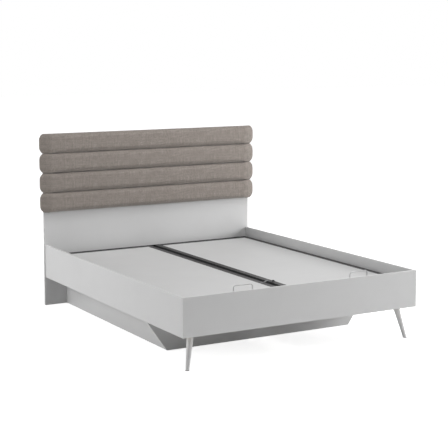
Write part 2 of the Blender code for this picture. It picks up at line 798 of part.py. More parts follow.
def front_arm(name, side, zinc):
    outline = link_outline((PIVOT_A, PIVOT_C), ARM_HALF_WIDTH)
    plate = prism_mesh(outline, side * FRONT_ARM_X, side * (FRONT_ARM_X - ARM))
    arm = from_bmesh(f"front_arm_{name}", plate, zinc, math.radians(40))
    for pivot in (PIVOT_A, PIVOT_C):
        ends = (FRONT_ARM_X + OVERRUN, FRONT_ARM_X - ARM - OVERRUN)
        cut(arm, stud(side, pivot, *ends, STUD_RADIUS + PIVOT_PLAY))
    return arm


def rear_arm(name, side, zinc):
    """A bent lever from B over H to D. Its hole at D is wide, because the lift's loop is open there."""
    outline = link_outline((PIVOT_B, PIVOT_H, PIVOT_D), ARM_HALF_WIDTH)
    plate = prism_mesh(outline, side * REAR_ARM_X, side * (REAR_ARM_X - ARM))
    arm = from_bmesh(f"rear_arm_{name}", plate, zinc, math.radians(40))
    for pivot, play in ((PIVOT_B, PIVOT_PLAY), (PIVOT_D, OPEN_PIVOT_PLAY)):
        ends = (REAR_ARM_X + OVERRUN, REAR_ARM_X - ARM - OVERRUN)
        cut(arm, stud(side, pivot, *ends, STUD_RADIUS + play))
    return arm


def frame_bracket(name, side, zinc):
    """A plate under the platform's side tube, with the pivots that both arms carry it by."""
    low_y, high_y = PIVOT_D[0] - FRAME_PLATE_MARGIN, PIVOT_C[0] + FRAME_PLATE_MARGIN
    top, low_z = FRAME_LOW - GAP, PIVOT_D[1] - FRAME_PLATE_DROP
    slope = (top - low_z) / 2
    outline = [(low_y, low_z), (high_y, low_z), (high_y + slope, top), (low_y - slope, top)]
    inner_x = FRAME_PLATE_X - FRAME_PLATE
    plate = prism_mesh(outline, side * FRAME_PLATE_X, side * inner_x)
    bracket = from_bmesh(f"frame_bracket_{name}", plate, zinc, math.radians(40))
    low = (side * FRAME_PLATE_X, PIVOT_D[0] - FRAME_FLANGE_MARGIN, top - FRAME_PLATE)
    high = (side * (FRAME_OUT_X - TUBE_WIDTH), PIVOT_C[0] + FRAME_FLANGE_MARGIN, top)
    join(bracket, box_mesh(low, high))
    root_x = FRAME_PLATE_X - FRAME_PLATE / 2
    join(bracket, stud(side, PIVOT_C, root_x, FRONT_ARM_X - LAYER_GAP, STUD_RADIUS))
    join(bracket, stud(side, PIVOT_D, root_x, REAR_HEAD_X - STUD_HEAD / 2, STUD_RADIUS))
    return join(bracket, stud(side, PIVOT_D, REAR_HEAD_X, REAR_HEAD_X - STUD_HEAD, STUD_HEAD_RADIUS))


# Gas strut

STRUT_X_INSET = 0.033
STRUT_X = INNER_X - STRUT_X_INSET
EYE_RADIUS = 0.010
EYE_HALF_WIDTH = 0.006
CYLINDER_RADIUS = 0.010
CYLINDER_STOP = 0.033
CYLINDER_START = 0.014
NECK_START = 0.0075
NECK_RADIUS = 0.0055
ROD_RADIUS = 0.004
ROD_INSERT = 0.129
ROD_END_PLAY = 0.006
ROD_EYE_RADIUS = 0.008
ROD_PLAY = 0.0004


def strut_point(side, distance):
    """A point on the strut's axis, at a distance from its fixed end G."""
    start, end = Vector((0, *PIVOT_G)), Vector((0, *PIVOT_H))
    point = start + (end - start).normalized() * distance
    return Vector((side * STRUT_X, point.y, point.z))


def strut_length():
    return (Vector(PIVOT_H) - Vector(PIVOT_G)).length


def cylinder_mouth():
    """How far from G the cylinder ends at rest, just short of the rod's eye at H."""
    return strut_length() - CYLINDER_STOP


def strut_cylinder(name, side, black):
    start, end = strut_point(side, CYLINDER_START), strut_point(side, cylinder_mouth())
    body = cylinder_mesh(start, end, CYLINDER_RADIUS)
    obj = from_bmesh(f"strut_cylinder_{name}", body, black, math.radians(40))
    within = strut_point(side, CYLINDER_START + CYLINDER_RADIUS)
    join(obj, cylinder_mesh(strut_point(side, NECK_START), within, NECK_RADIUS))
    eye = (STRUT_X + EYE_HALF_WIDTH, STRUT_X - EYE_HALF_WIDTH)
    join(obj, stud(side, PIVOT_G, *eye, EYE_RADIUS))
    hole = (STRUT_X + OVERRUN, STRUT_X - OVERRUN)
    cut(obj, stud(side, PIVOT_G, *hole, STUD_RADIUS + PIVOT_PLAY))
    bore_end = strut_point(side, cylinder_mouth() - ROD_INSERT - ROD_END_PLAY)
    mouth = strut_point(side, cylinder_mouth() + OVERRUN)
    return cut(obj, cylinder_mesh(bore_end, mouth, ROD_RADIUS + ROD_PLAY))


def strut_rod(name, side, chrome):
    """The piston rod, with its end eye and the stud that it is bolted to the rear arm by."""
    start, end = strut_point(side, cylinder_mouth() - ROD_INSERT), strut_point(side, strut_length())
    obj = from_bmesh(f"strut_rod_{name}", cylinder_mesh(start, end, ROD_RADIUS), chrome, math.radians(40))
    join(obj, stud(side, PIVOT_H, STRUT_X + EYE_HALF_WIDTH, STRUT_X - EYE_HALF_WIDTH, ROD_EYE_RADIUS))
    face_x = REAR_ARM_X - ARM - LAYER_GAP
    return join(obj, stud(side, PIVOT_H, face_x, STRUT_X, STUD_RADIUS))


def build():
    clear_scene()
    laminate = finish("laminate", (0.62, 0.62, 0.62), 0.45)
    platform_laminate = finish("platform_laminate", (0.64, 0.64, 0.64), 0.5)
    fabric = finish("fabric", (0.27, 0.24, 0.215), 0.95)
    plywood = finish("plywood", (0.62, 0.48, 0.31), 0.7)
    timber = finish("timber", (0.66, 0.53, 0.36), 0.7)
    hardboard = finish("hardboard", (0.60, 0.59, 0.57), 0.6)
    leg_paint = finish("leg_paint", (0.58, 0.58, 0.58), 0.4)
    plastic = finish("plastic", (0.45, 0.45, 0.45), 0.5)
    frame_enamel = finish("frame_enamel", (0.06, 0.06, 0.062), 0.45)
    pale_enamel = finish("pale_enamel", (0.55, 0.55, 0.55), 0.4)
    black = finish("black", (0.02, 0.02, 0.02), 0.4)
    zinc = finish("zinc", (0.55, 0.56, 0.58), 0.35, 1.0)
    chrome = finish("chrome", (0.75, 0.75, 0.77), 0.15, 1.0)

    headboard_panel(laminate)
    for number in range(1, ROLL_COUNT + 1):
        roll_board(number, plywood)
        headboard_roll(number, fabric)
    foot_rail(laminate)
    box_front(laminate)
    floor_bearer(laminate)
    foot_ledge(timber)
    head_ledge(frame_enamel)

    front_arms, rear_arms, cylinders, rods = [], [], [], []
    platform = [joining_strap(frame_enamel), joining_plate(frame_enamel), joining_bolt(black)]
    for name, side in SIDES:
        side_rail(name, side, laminate)
        head_angle(name, side, zinc)
        corner_block(name, side, timber)
        leg_plate(name, side, zinc)
        leg(name, side, leg_paint)
        glide(name, side, plastic)
        box_side(name, side, laminate)
        floor_cleat(name, side, timber)
        floor_panel(name, side, hardboard)
        side_ledge(name, side, timber)
        rail_bracket(name, side, zinc)
        platform += [
            platform_frame(name, side, frame_enamel),
            platform_panel(name, side, platform_laminate),
            mattress_stop(name, side, pale_enamel),
            frame_bracket(name, side, zinc),
        ]
        front_arms.append(front_arm(name, side, zinc))
        rear_arms.append(rear_arm(name, side, zinc))
        cylinders.append(strut_cylinder(name, side, black))
        rods.append(strut_rod(name, side, chrome))

    front_pivot = carry(front_arms, "front_arm_axis", *PIVOT_A)
    carry(platform, "platform_axis", *PIVOT_C, parent=front_pivot)
    carry(rear_arms, "rear_arm_axis", *PIVOT_B)
    strut_pivot = carry(cylinders, "strut_axis", *PIVOT_G)
    carry(rods, "rod_axis", *PIVOT_H, parent=strut_pivot)


build()
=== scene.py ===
"""The looks of a double bed with a padded headboard and a lift-up base over a storage box."""

import math

import bmesh
import bpy
from mathutils import Matrix, Vector


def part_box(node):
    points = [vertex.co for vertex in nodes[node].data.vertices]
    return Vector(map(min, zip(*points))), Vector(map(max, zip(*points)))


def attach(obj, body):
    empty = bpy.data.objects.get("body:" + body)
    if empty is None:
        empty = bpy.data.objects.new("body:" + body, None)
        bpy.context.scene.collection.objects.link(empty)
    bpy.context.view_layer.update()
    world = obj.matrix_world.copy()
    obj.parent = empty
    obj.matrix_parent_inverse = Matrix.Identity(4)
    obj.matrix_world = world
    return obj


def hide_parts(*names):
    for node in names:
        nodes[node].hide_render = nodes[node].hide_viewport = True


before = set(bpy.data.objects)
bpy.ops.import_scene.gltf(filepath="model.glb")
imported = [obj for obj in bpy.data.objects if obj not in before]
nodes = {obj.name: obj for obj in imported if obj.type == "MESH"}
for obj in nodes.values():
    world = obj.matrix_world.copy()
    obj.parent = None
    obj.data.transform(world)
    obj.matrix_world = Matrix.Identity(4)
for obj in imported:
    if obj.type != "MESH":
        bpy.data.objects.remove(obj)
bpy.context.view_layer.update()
scene = bpy.context.scene


# Headboard panel: one chipboard with a pale grey melamine face, which stands on the floor.
# The same board makes the rails and the storage box, so its finish is made here once.

laminate_grey = (0.64, 0.64, 0.64, 1)
laminate_grain = 900
laminate_roughness = 0.42


def new_finish(name):
    """An empty material with its shader, and a short way to add and link nodes."""
    material = bpy.data.materials.new(name)
    material.use_nodes = True
    tree = material.node_tree
    return material, tree, tree.nodes["Principled BSDF"]


def add_node(tree, kind, inputs=None, **settings):
    """A shader node. An input is a value, or another node's output."""
    made = tree.nodes.new(kind)
    for key, value in settings.items():
        setattr(made, key, value)
    for key, value in (inputs or {}).items():
        if isinstance(value, bpy.types.NodeSocket):
            tree.links.new(value, made.inputs[key])
        else:
            made.inputs[key].default_value = value
    return made


def place_of(tree, stretch=(1, 1, 1)):
    """The point on the piece, stretched, for a pattern that keeps its real size."""
    where = add_node(tree, "ShaderNodeTexCoord")
    return add_node(
        tree, "ShaderNodeMapping", {"Vector": where.outputs["Object"], "Scale": stretch}
    ).outputs["Vector"]


def two_tones(tree, amount, dark, light, low=0.3, high=0.7):
    """A colour that runs from dark to light as the amount grows."""
    ramp = add_node(tree, "ShaderNodeValToRGB", {"Fac": amount})
    ramp.color_ramp.elements[0].position = low
    ramp.color_ramp.elements[0].color = dark
    ramp.color_ramp.elements[1].position = high
    ramp.color_ramp.elements[1].color = light
    return ramp.outputs["Color"]


def shade(color, amount):
    return tuple(value * amount for value in color[:3]) + (1,)


def bump(tree, shader, height, strength, distance):
    relief = add_node(
        tree, "ShaderNodeBump", {"Height": height, "Strength": strength, "Distance": distance}
    )
    tree.links.new(relief.outputs["Normal"], shader.inputs["Normal"])


def laminate(name, grey, roughness):
    """Melamine: even grey, a fine pressed grain and a slightly uneven sheen."""
    material, tree, shader = new_finish(name)
    cloud = add_node(tree, "ShaderNodeTexNoise", {"Vector": place_of(tree), "Scale": 7, "Detail": 3})
    tone = two_tones(tree, cloud.outputs["Fac"], shade(grey, 0.988), shade(grey, 1.012))
    tree.links.new(tone, shader.inputs["Base Color"])
    grain = add_node(
        tree, "ShaderNodeTexNoise", {"Vector": place_of(tree), "Scale": laminate_grain, "Detail": 2}
    )
    sheen = add_node(
        tree,
        "ShaderNodeMapRange",
        {"Value": grain.outputs["Fac"], "To Min": roughness - 0.05, "To Max": roughness + 0.07},
    )
    tree.links.new(sheen.outputs["Result"], shader.inputs["Roughness"])
    bump(tree, shader, grain.outputs["Fac"], 0.12, 0.0004)
    return material


def finish_nodes(material, *names):
    """Gives CAD nodes their finish."""
    for name in names:
        nodes[name].data.materials.clear()
        nodes[name].data.materials.append(material)


board_finish = laminate("pale_melamine", laminate_grey, laminate_roughness)
finish_nodes(board_finish, "headboard_panel")


# Roll boards: a strip of raw plywood behind each roll, which its cover is stapled to.
# They show only from behind, where the rolls stand out past the panel.

plywood_pale = (0.56, 0.42, 0.26, 1)
plywood_dark = (0.40, 0.27, 0.15, 1)


def timber(name, pale, dark, stretch, roughness=0.62):
    """Sawn wood: grain lines along the piece, broken up by noise, and open pores."""
    material, tree, shader = new_finish(name)
    along = place_of(tree, stretch)
    grain = add_node(
        tree, "ShaderNodeTexNoise", {"Vector": along, "Scale": 60, "Detail": 6, "Distortion": 0.4}
    )
    figure = add_node(tree, "ShaderNodeTexNoise", {"Vector": along, "Scale": 9, "Detail": 2})
    both = add_node(
        tree,
        "ShaderNodeMix",
        {"Factor": 0.35, "A": grain.outputs["Fac"], "B": figure.outputs["Fac"]},
    )
    tone = two_tones(tree, both.outputs["Result"], dark, pale, 0.32, 0.62)
    tree.links.new(tone, shader.inputs["Base Color"])
    shader.inputs["Roughness"].default_value = roughness
    bump(tree, shader, grain.outputs["Fac"], 0.3, 0.0006)
    return material


plywood = timber("plywood", plywood_pale, plywood_dark, (0.06, 1, 1))
finish_nodes(plywood, *(f"roll_board_{number}" for number in range(1, 5)))


# Headboard rolls: four bolsters of foam on their boards, one above the other, in a coarse
# melange weave. The cover is pulled round the foam's edges, so each has a crown and round ends.

roll_start = 0.0025
roll_corner = 0.048
roll_rounding = 0.030
roll_fullness = 2.4
roll_straight = 0.011
roll_steps = 7
roll_end_reach = 0.045
roll_voxel = 0.007
roll_swell = 0.006
cover_frames = 20
roll_clearance = 0.0003
roll_press = 0.0035
board_depth = 0.0105
board_play = 0.0025
cover_ripple = 0.0011
cover_ripple_size = 0.06
thread_pitch = 0.0023
fabric_dark = (0.163, 0.140, 0.123, 1)
fabric_mid = (0.293, 0.257, 0.231, 1)
fabric_light = (0.459, 0.414, 0.376, 1)


def coarse_weave(name):
    """Plain weave of thick melange yarn: threads cross in u and v, each with its own fleck, and painted
    shade darkens the gaps between the threads.
    """
    material, tree, shader = new_finish(name)
    where = add_node(tree, "ShaderNodeTexCoord").outputs["UV"]
    wobble = add_node(tree, "ShaderNodeTexNoise", {"Vector": where, "Scale": 90, "Detail": 2})
    bent = add_node(
        tree,
        "ShaderNodeMix",
        {"Factor": 0.0012, "A": where, "B": wobble.outputs["Color"]},
        data_type="VECTOR",
    )
    at = add_node(tree, "ShaderNodeSeparateXYZ", {"Vector": bent.outputs[1]})
    threads = []
    for axis in ("X", "Y"):
        turn = add_node(
            tree,
            "ShaderNodeMath",
            {0: at.outputs[axis], 1: math.pi / thread_pitch},
            operation="MULTIPLY",
        )
        wave = add_node(tree, "ShaderNodeMath", {0: turn.outputs[0]}, operation="SINE")
        threads.append(wave.outputs[0])
    crossing = add_node(
        tree, "ShaderNodeMath", {0: threads[0], 1: threads[1]}, operation="MULTIPLY"
    )
    flecks = []
    for stretch in ((1, 5, 1), (5, 1, 1)):
        along = add_node(tree, "ShaderNodeMapping", {"Vector": where, "Scale": stretch})
        fleck = add_node(
            tree,
            "ShaderNodeTexNoise",
            {"Vector": along.outputs["Vector"], "Scale": 120, "Detail": 3, "Roughness": 0.7},
        )
        flecks.append(fleck.outputs["Fac"])
    over = add_node(tree, "ShaderNodeMath", {0: crossing.outputs[0], 1: 0}, operation="GREATER_THAN")
    yarn = add_node(
        tree, "ShaderNodeMix", {"Factor": over.outputs[0], "A": flecks[0], "B": flecks[1]}
    )
    ramp = add_node(tree, "ShaderNodeValToRGB", {"Fac": yarn.outputs["Result"]})
    tones = ramp.color_ramp.elements
    tones[0].position, tones[0].color = 0.28, fabric_dark
    tones[1].position, tones[1].color = 0.72, fabric_light
    middle = tones.new(0.5)
    middle.color = fabric_mid
    slubs = []
    for stretch in ((1, 6, 1), (6, 1, 1)):
        along = add_node(tree, "ShaderNodeMapping", {"Vector": where, "Scale": stretch})
        slub = add_node(
            tree, "ShaderNodeTexNoise", {"Vector": along.outputs["Vector"], "Scale": 16, "Detail": 4}
        )
        slubs.append(slub.outputs["Fac"])
    worn = add_node(tree, "ShaderNodeMix", {"Factor": 0.5, "A": slubs[0], "B": slubs[1]})
    wear = add_node(
        tree,
        "ShaderNodeMapRange",
        {"Value": worn.outputs[0], "From Min": 0.35, "From Max": 0.65, "To Min": 0.83, "To Max": 1.17},
    )
    # Painted shade: the colour is darkened to 0.78 along the gaps between threads, where shade falls.
    gap = add_node(tree, "ShaderNodeMath", {0: crossing.outputs[0]}, operation="ABSOLUTE")
    depth = add_node(
        tree,
        "ShaderNodeMapRange",
        {"Value": gap.outputs[0], "From Max": 0.25, "To Min": 0.78, "To Max": 1},
    )
    slub_tone_and_gap_shade = add_node(
        tree, "ShaderNodeMath", {0: wear.outputs[0], 1: depth.outputs[0]}, operation="MULTIPLY"
    )
    tint = add_node(
        tree,
        "ShaderNodeMix",
        {"Factor": 1, "A": ramp.outputs["Color"], "B": slub_tone_and_gap_shade.outputs[0]},
        data_type="RGBA",
        blend_type="MULTIPLY",
    )
    tree.links.new(tint.outputs[2], shader.inputs["Base Color"])
    shader.inputs["Roughness"].default_value = 0.92
    shader.inputs["Sheen Weight"].default_value = 0.35
    shader.inputs["Sheen Roughness"].default_value = 0.45
    shader.inputs["Specular IOR Level"].default_value = 0.25
    round_thread = add_node(
        tree, "ShaderNodeMath", {0: gap.outputs[0], 1: 0.5}, operation="POWER"
    )
    fuzz = add_node(
        tree,
        "ShaderNodeMath",
        {0: yarn.outputs["Result"], 1: 0.6, 2: round_thread.outputs[0]},
        operation="MULTIPLY_ADD",
    )
    bump(tree, shader, fuzz.outputs[0], 0.45, 0.0008)
    return material


def edit(obj):
    """Opens a piece in edit mode with nothing selected."""
    bpy.ops.object.select_all(action="DESELECT")
    obj.select_set(True)
    bpy.context.view_layer.objects.active = obj
    bpy.ops.object.mode_set(mode="EDIT")
    bpy.ops.mesh.select_all(action="DESELECT")


def pick(obj, kind, wanted):
    """Selects the vertices, edges or faces that pass a test."""
    bpy.ops.mesh.select_mode(type=kind)
    bm = bmesh.from_edit_mesh(obj.data)
    group = {"VERT": bm.verts, "EDGE": bm.edges, "FACE": bm.faces}[kind]
    for part in group:
        part.select_set(bool(wanted(part)))
    bm.select_flush_mode()
    bmesh.update_edit_mesh(obj.data)


def close_edit():
    bpy.ops.object.mode_set(mode="OBJECT")


def settle(obj):
    """Puts a piece's place into its mesh, so that the object sits at the origin."""
    bpy.ops.object.select_all(action="DESELECT")
    obj.select_set(True)
    bpy.context.view_layer.objects.active = obj
    bpy.ops.object.transform_apply(location=True, rotation=True, scale=True)


def apply_modifier(obj, modifier):
    bpy.ops.object.select_all(action="DESELECT")
    obj.select_set(True)
    bpy.context.view_layer.objects.active = obj
    bpy.ops.object.modifier_apply(modifier=modifier.name)


def foam_block(name, low, high):
    """The foam before its cover is pulled tight: a board-shaped back and a domed front."""
    back = high.y - roll_straight
    middle = Vector(((low.x + high.x) / 2, (back + high.y) / 2, (low.z + high.z) / 2))
    size = Vector((high.x - low.x, high.y - back, high.z - low.z))
    bpy.ops.object.select_all(action="DESELECT")
    bpy.ops.mesh.primitive_cube_add(size=1, location=middle, scale=size)
    roll = bpy.context.object
    roll.name = name
    settle(roll)
    edit(roll)
    pick(roll, "EDGE", lambda edge: abs(edge.verts[0].co.y - edge.verts[1].co.y) > roll_straight / 2)
    bpy.ops.mesh.bevel(offset=roll_corner, segments=8, affect="EDGES", clamp_overlap=True)
    half, depth = size.z / 2, back - low.y
    last = math.acos((1 - roll_rounding / half) ** (roll_fullness / 2))
    pick(roll, "FACE", lambda face: face.calc_center_median().y < back + roll_straight / 10)
    rows = [(half, 0.0)]
    for step in range(1, roll_steps + 1):
        turn = last * step / roll_steps
        rows.append(
            (half * math.cos(turn) ** (2 / roll_fullness), depth * math.sin(turn) ** (2 / roll_fullness))
        )
        thinner = rows[-2][0] - rows[-1][0]
        bpy.ops.mesh.inset(thickness=thinner, depth=rows[-1][1] - rows[-2][1])
        shorter = 1 - roll_end_reach * thinner / (half - rows[-1][0]) / (size.x / 2) * step / roll_steps
        bpy.ops.transform.resize(value=(shorter, 1, 1))
    close_edit()
    remesh = roll.modifiers.new("foam", "REMESH")
    remesh.mode = "VOXEL"
    remesh.voxel_size = roll_voxel
    apply_modifier(roll, remesh)
    return roll


def pull_tight(roll, swell):
    """Blows the cover up like cloth under pressure, and caps how far it may move."""
    before = [vertex.co.copy() for vertex in roll.data.vertices]
    cloth = roll.modifiers.new("cover", "CLOTH")
    cloth.settings.quality = 4
    cloth.settings.mass = 0.25
    cloth.settings.tension_stiffness = 12
    cloth.settings.compression_stiffness = 12
    cloth.settings.bending_stiffness = 0.6
    cloth.settings.use_pressure = True
    cloth.settings.uniform_pressure_force = 4
    cloth.settings.effector_weights.gravity = 0
    cloth.point_cache.frame_start = 1
    cloth.point_cache.frame_end = cover_frames
    for step in range(1, cover_frames + 1):
        scene.frame_set(step)
    apply_modifier(roll, cloth)
    for vertex, start in zip(roll.data.vertices, before):
        move = vertex.co - start
        if move.length > swell:
            vertex.co = start + move * (swell / move.length)


def ripple(roll, number):
    """Small uneven swells in the cover, different on each roll."""
    cloud = bpy.data.textures.new(f"cover_ripple_{number}", "CLOUDS")
    cloud.noise_scale = cover_ripple_size
    cloud.noise_depth = 2
    where = bpy.data.objects.new("ripple_place", None)
    where.location = (number * 0.37, 0, 0)
    scene.collection.objects.link(where)
    wave = roll.modifiers.new("ripple", "DISPLACE")
    wave.texture = cloud
    wave.texture_coords = "OBJECT"
    wave.texture_coords_object = where
    wave.strength = cover_ripple
    wave.mid_level = 0.5
    apply_modifier(roll, wave)
    bpy.data.objects.remove(where, do_unlink=True)


def fit_to_box(roll, low, high, press):
    """Stretches the cover past the roll's own box and presses it back flat, as its neighbours do."""
    places = [vertex.co for vertex in roll.data.vertices]
    for axis in range(3):
        least = min(co[axis] for co in places)
        most = max(co[axis] for co in places)
        start, end = low[axis] - press[axis], high[axis] + press[axis]
        for co in places:
            wanted = start + (co[axis] - least) * (end - start) / (most - least)
            co[axis] = min(max(wanted, low[axis]), high[axis])


def seat_on_board(roll, high, board_low, board_high):
    """Flattens the back and sinks the pocket that the board sits in."""
    floor = high.y - board_depth
    for vertex in roll.data.vertices:
        co = vertex.co
        if co.y > high.y - roll_straight / 4:
            co.y = high.y
        inside_x = board_low.x - board_play < co.x < board_high.x + board_play
        inside_z = board_low.z - board_play < co.z < board_high.z + board_play
        if inside_x and inside_z and co.y > floor:
            co.y = floor


weave = coarse_weave("melange_weave")
for number in range(1, 5):
    low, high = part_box(f"headboard_roll_{number}")
    board_low, board_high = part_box(f"roll_board_{number}")
    smaller = Vector((roll_start, 0, roll_start))
    roll = foam_block(f"padded_roll_{number}", low + smaller, high - smaller)
    pull_tight(roll, roll_swell)
    smooth = roll.modifiers.new("smooth", "SUBSURF")
    smooth.levels = smooth.render_levels = 1
    apply_modifier(roll, smooth)
    ripple(roll, number)
    slack = Vector((roll_clearance, 0, roll_clearance))
    fit_to_box(roll, low + slack, high - slack, (roll_press / 2, 0, roll_press))
    seat_on_board(roll, high, board_low, board_high)
    edit(roll)
    bpy.ops.mesh.select_all(action="SELECT")
    bpy.ops.uv.cube_project(cube_size=1, correct_aspect=False)
    close_edit()
    bpy.ops.object.shade_smooth()
    roll.data.materials.append(weave)
    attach(roll, "bed_frame")
    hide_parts(f"headboard_roll_{number}")
scene.frame_set(1)


# Rails: two long side rails and a foot rail of the same board, screwed together at the corners.
# The foot rail covers the side rails' ends.

finish_nodes(board_finish, "side_rail_left", "side_rail_right", "foot_rail")


# Head angles and corner blocks: bent steel angles hold the rails to the headboard, and softwood
# blocks stiffen the foot corners. Zinc-plated screws go through both.

zinc_grey = (0.54, 0.55, 0.57, 1)
softwood_pale = (0.60, 0.49, 0.34, 1)
softwood_dark = (0.46, 0.35, 0.22, 1)
screw_radius = 0.0042
screw_height = 0.0022
screw_recess = 0.0012
seat = 0.0002
block_screw = 0.04
angle_steel = 0.003
angle_margin = 0.012
angle_screw_rise = 0.02


def plated_steel(name, grey, roughness=0.34):
    """Zinc plating: bright metal with cloudy patches and fine rolling marks."""
    material, tree, shader = new_finish(name)
    cloud = add_node(
        tree, "ShaderNodeTexNoise", {"Vector": place_of(tree), "Scale": 45, "Detail": 4}
    )
    tone = two_tones(tree, cloud.outputs["Fac"], shade(grey, 0.82), shade(grey, 1.06))
    tree.links.new(tone, shader.inputs["Base Color"])
    marks = add_node(
        tree, "ShaderNodeTexNoise", {"Vector": place_of(tree, (1, 0.04, 1)), "Scale": 900, "Detail": 2}
    )
    sheen = add_node(
        tree,
        "ShaderNodeMapRange",
        {"Value": cloud.outputs["Fac"], "To Min": roughness - 0.08, "To Max": roughness + 0.12},
    )
    tree.links.new(sheen.outputs["Result"], shader.inputs["Roughness"])
    shader.inputs["Metallic"].default_value = 1
    bump(tree, shader, marks.outputs["Fac"], 0.08, 0.0002)
    return material


zinc = plated_steel("zinc_plating", zinc_grey)
softwood = timber("softwood", softwood_pale, softwood_dark, (1, 0.07, 1))
cross_softwood = timber("softwood_across", softwood_pale, softwood_dark, (0.07, 1, 1))


def pan_screw():
    """One pan-head screw at the origin, head up, with a six-sided recess."""
    bpy.ops.object.select_all(action="DESELECT")
    bpy.ops.mesh.primitive_cylinder_add(
        vertices=24, radius=screw_radius, depth=screw_height, location=(0, 0, screw_height / 2)
    )
    screw = bpy.context.object
    settle(screw)
    edit(screw)
    pick(screw, "FACE", lambda face: face.normal.z > 0.9)
    bpy.ops.mesh.bevel(offset=screw_height * 0.55, segments=4, affect="EDGES")
    top = screw_height * 0.99
    pick(screw, "FACE", lambda face: face.normal.z > 0.99 and face.calc_center_median().z > top)
    bpy.ops.mesh.inset(thickness=screw_radius * 0.15, depth=0)
    bpy.ops.mesh.extrude_region_move(TRANSFORM_OT_translate={"value": (0, 0, -screw_recess)})
    bpy.ops.transform.resize(value=(0.8, 0.8, 1))
    close_edit()
    bpy.ops.object.shade_smooth_by_angle(angle=math.radians(40))
    return screw


screw_master = pan_screw()


def drive_screws(name, places, direction, body):
    """Copies the screw to each place, its head pointing in the direction, as one piece."""
    turn = Vector(direction).to_track_quat("Z", "Y").to_matrix().to_4x4()
    copies = []
    for place in places:
        copy = screw_master.copy()
        copy.data = screw_master.data.copy()
        copy.data.transform(Matrix.Translation(place) @ turn)
        scene.collection.objects.link(copy)
        copies.append(copy)
    bpy.ops.object.select_all(action="DESELECT")
    for copy in copies:
        copy.select_set(True)
    bpy.context.view_layer.objects.active = copies[0]
    if len(copies) > 1:
        bpy.ops.object.join()
    group = bpy.context.view_layer.objects.active
    group.name = name
    group.data.materials.clear()
    group.data.materials.append(zinc)
    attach(group, body)


finish_nodes(zinc, "head_angle_left", "head_angle_right")
finish_nodes(cross_softwood, "corner_block_left", "corner_block_right")
for name, side in (("left", -1), ("right", 1)):
    low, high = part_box(f"head_angle_{name}")
    face_x = side * (max(abs(low.x), abs(high.x)) - angle_steel - seat)
    heights = (low.z + angle_screw_rise, high.z - angle_screw_rise)
    places = [Vector((face_x, low.y + angle_margin, z)) for z in heights]
    drive_screws(f"angle_rail_screws_{name}", places, (-side, 0, 0), "bed_frame")
    inner_x = side * (min(abs(low.x), abs(high.x)) + angle_margin)
    places = [Vector((inner_x, high.y - angle_steel - seat, z)) for z in heights]
    drive_screws(f"angle_head_screws_{name}", places, (0, -1, 0), "bed_frame")
    low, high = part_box(f"corner_block_{name}")
    middle = (low + high) / 2
    corners = ((block_screw, block_screw), (-block_screw, block_screw), (block_screw, -block_screw))
    places = [Vector((middle.x + dx, middle.y + dy, high.z + seat)) for dx, dy in corners]
    drive_screws(f"block_screws_{name}", places, (0, 0, 1), "bed_frame")


# Legs: turned and painted wooden legs that taper and lean outward, each on a steel plate that is
# screwed to its corner block, with a plastic glide tapped into its foot.

leg_grey = (0.72, 0.72, 0.725, 1)
glide_grey = (0.45, 0.45, 0.46, 1)
plate_margin = 0.006


def satin_paint(name, grey, roughness=0.38):
    """Sprayed paint: an even colour over a faint long grain."""
    material, tree, shader = new_finish(name)
    cloud = add_node(
        tree, "ShaderNodeTexNoise", {"Vector": place_of(tree), "Scale": 25, "Detail": 3}
    )
    tone = two_tones(tree, cloud.outputs["Fac"], shade(grey, 0.96), shade(grey, 1.03))
    tree.links.new(tone, shader.inputs["Base Color"])
    shader.inputs["Roughness"].default_value = roughness
    skin = add_node(
        tree, "ShaderNodeTexNoise", {"Vector": place_of(tree, (1, 1, 0.1)), "Scale": 500, "Detail": 2}
    )
    bump(tree, shader, skin.outputs["Fac"], 0.1, 0.0004)
    return material


def moulded_plastic(name, grey):
    """Moulded plastic with a fine spark-eroded texture."""
    material, tree, shader = new_finish(name)
    grain = add_node(
        tree, "ShaderNodeTexNoise", {"Vector": place_of(tree), "Scale": 1500, "Detail": 2}
    )
    tone = two_tones(tree, grain.outputs["Fac"], shade(grey, 0.94), shade(grey, 1.05))
    tree.links.new(tone, shader.inputs["Base Color"])
    shader.inputs["Roughness"].default_value = 0.55
    bump(tree, shader, grain.outputs["Fac"], 0.25, 0.0003)
    return material


leg_paint = satin_paint("leg_paint", leg_grey)
glide_plastic = moulded_plastic("glide_plastic", glide_grey)
finish_nodes(leg_paint, "leg_left", "leg_right")
finish_nodes(glide_plastic, "glide_left", "glide_right")
finish_nodes(zinc, "leg_plate_left", "leg_plate_right")
for name in ("left", "right"):
    low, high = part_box(f"leg_plate_{name}")
    places = [
        Vector((x, y, low.z - seat))
        for x in (low.x + plate_margin, high.x - plate_margin)
        for y in (low.y + plate_margin, high.y - plate_margin)
    ]
    drive_screws(f"leg_plate_screws_{name}", places, (0, 0, -1), "bed_frame")


# Ledges that the closed platform rests on: softwood strips screwed to the insides of the rails,
# and a steel angle along the headboard, coated flat black with almost no gloss as painted shade for the
# deep gap there.

frame_grey = (0.030, 0.030, 0.031, 1)
gap_shade_black = (0.010, 0.010, 0.010, 1)
ledge_screws = 5


